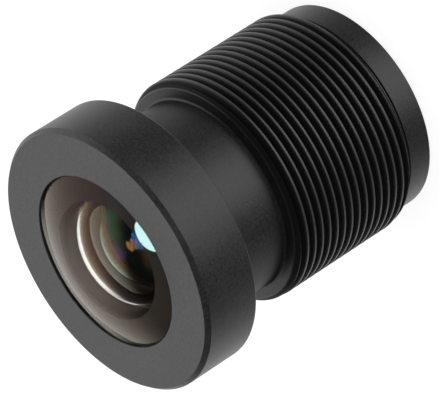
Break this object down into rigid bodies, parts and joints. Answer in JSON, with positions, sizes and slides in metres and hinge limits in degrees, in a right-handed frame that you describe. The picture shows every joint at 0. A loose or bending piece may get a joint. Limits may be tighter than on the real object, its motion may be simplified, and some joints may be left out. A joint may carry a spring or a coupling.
{
  "type": "m12 board camera lens",
  "caption": "Small fixed-focus lens with a round stepped head, a waist and a fine-threaded barrel that screws into the holder of a board camera.",
  "frame": {"origin": "centre of the rear face, which the lens stands on", "axes": "+Z along the optical axis, from the rear face to the front element"},
  "size_m": [0.014, 0.014, 0.0176],
  "materials": {
    "black_anodised": "bead-blasted and black anodised",
    "matt_black_ring": "matt black anodised",
    "coated_glass": "polished, anti-reflection coated",
    "filter_glass": "polished, interference coated",
    "black_film": "matt black film",
    "black_rubber": "plain"
  },
  "bodies": {
    "root": {"barrel": "black_anodised", "front_cap": "black_anodised", "front_lens": "coated_glass", "front_seal": "black_rubber", "seat_baffle": "black_film", "second_lens": "coated_glass", "first_baffle": "black_film", "first_spacer": "matt_black_ring", "third_lens": "coated_glass", "stop_spacer": "matt_black_ring", "aperture_stop": "matt_black_ring", "crown_spacer": "matt_black_ring", "crown_lens": "coated_glass", "flint_lens": "coated_glass", "rear_baffle": "black_film", "rear_spacer": "matt_black_ring", "rear_lens": "coated_glass", "retaining_ring": "matt_black_ring", "ir_cut_filter": "filter_glass", "filter_ring": "matt_black_ring"}
  },
  "joints": []
}
